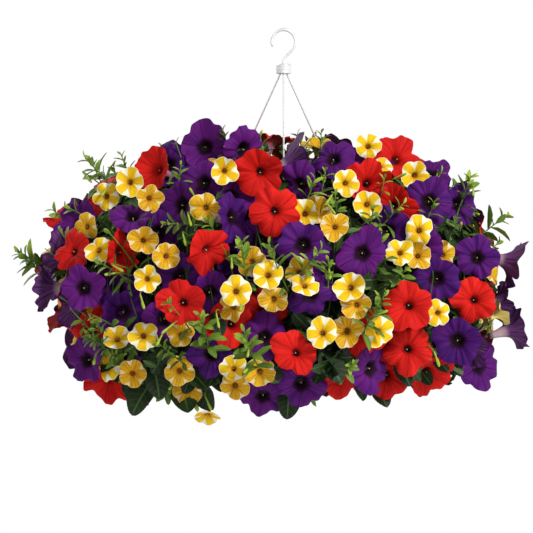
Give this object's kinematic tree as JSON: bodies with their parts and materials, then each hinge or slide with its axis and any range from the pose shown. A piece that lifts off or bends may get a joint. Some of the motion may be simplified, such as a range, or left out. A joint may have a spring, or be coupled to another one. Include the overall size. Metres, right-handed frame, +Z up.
{
  "type": "petunia hanging basket",
  "caption": "Hanging basket mounded with purple and red petunias, yellow and white calibrachoas and bright green sprigs, on three wires and a hook",
  "frame": {"origin": "the hanging point: the top of the inside of the hook's bend", "axes": "+X to the right along the mound's width as seen from its front, +Y from the front to the rear, +Z up"},
  "size_m": [0.584, 0.5004, 0.4418],
  "materials": {
    "purple_petals": "velvety petals, deep blue-purple, darker at the throat",
    "red_petals": "velvety petals, scarlet, dark maroon at the throat",
    "calibrachoa_petals": "matt petals, yellow rays on white, golden brown throat",
    "calibrachoa_foliage": "small downy leaves, bright yellow green",
    "petunia_foliage": "broad downy leaves, dark green with paler veins",
    "pot_plastic": "moulded, dark green, slightly glossy",
    "soil": "crumbly peat with pale grains",
    "galvanised_wire": "dull galvanised"
  },
  "bodies": {
    "root": {"basket": "pot_plastic", "calibrachoa_leafy_shoot_01": "calibrachoa_foliage", "calibrachoa_leafy_shoot_02": "calibrachoa_foliage", "calibrachoa_leafy_shoot_03": "calibrachoa_foliage", "hanger_hook": "galvanised_wire", "hanger_wire_1": "galvanised_wire", "hanger_wire_2": "galvanised_wire", "hanger_wire_3": "galvanised_wire", "potting_soil": "soil", "purple_petunia_shoot_01": "purple_petals", "purple_petunia_shoot_02": "purple_petals", "purple_petunia_shoot_03": "purple_petals", "purple_petunia_shoot_04": "purple_petals", "purple_petunia_shoot_05": "purple_petals", "purple_petunia_shoot_06": "purple_petals", "purple_petunia_shoot_07": "purple_petals", "purple_petunia_shoot_08": "purple_petals", "purple_petunia_shoot_09": "purple_petals", "purple_petunia_shoot_10": "purple_petals", "purple_petunia_shoot_11": "purple_petals", "purple_petunia_shoot_12": "purple_petals", "purple_petunia_shoot_13": "purple_petals", "purple_petunia_shoot_14": "purple_petals", "purple_petunia_shoot_15": "purple_petals", "purple_petunia_shoot_16": "purple_petals", "purple_petunia_shoot_17": "purple_petals", "purple_petunia_shoot_18": "purple_petals", "purple_petunia_shoot_19": "purple_petals", "purple_petunia_shoot_20": "purple_petals", "purple_petunia_shoot_21": "purple_petals", "purple_petunia_shoot_22": "purple_petals", "red_petunia_shoot_01": "red_petals", "red_petunia_shoot_02": "red_petals", "red_petunia_shoot_03": "red_petals", "red_petunia_shoot_04": "red_petals", "red_petunia_shoot_05": "red_petals", "red_petunia_shoot_06": "red_petals", "red_petunia_shoot_07": "red_petals", "red_petunia_shoot_08": "red_petals", "red_petunia_shoot_09": "red_petals", "red_petunia_shoot_10": "red_petals", "red_petunia_shoot_11": "red_petals", "red_petunia_shoot_12": "red_petals", "red_petunia_shoot_13": "red_petals", "red_petunia_shoot_14": "red_petals", "red_petunia_shoot_15": "red_petals", "yellow_calibrachoa_shoot_01": "calibrachoa_petals", "yellow_calibrachoa_shoot_02": "calibrachoa_petals", "yellow_calibrachoa_shoot_03": "calibrachoa_petals", "yellow_calibrachoa_shoot_04": "calibrachoa_petals", "yellow_calibrachoa_shoot_05": "calibrachoa_petals", "yellow_calibrachoa_shoot_06": "calibrachoa_petals", "yellow_calibrachoa_shoot_07": "calibrachoa_petals", "yellow_calibrachoa_shoot_08": "calibrachoa_petals", "yellow_calibrachoa_shoot_09": "calibrachoa_petals", "yellow_calibrachoa_shoot_10": "calibrachoa_petals", "yellow_calibrachoa_shoot_11": "calibrachoa_petals", "yellow_calibrachoa_shoot_12": "calibrachoa_petals", "yellow_calibrachoa_shoot_13": "calibrachoa_petals", "yellow_calibrachoa_shoot_14": "calibrachoa_petals"}
  },
  "joints": []
}
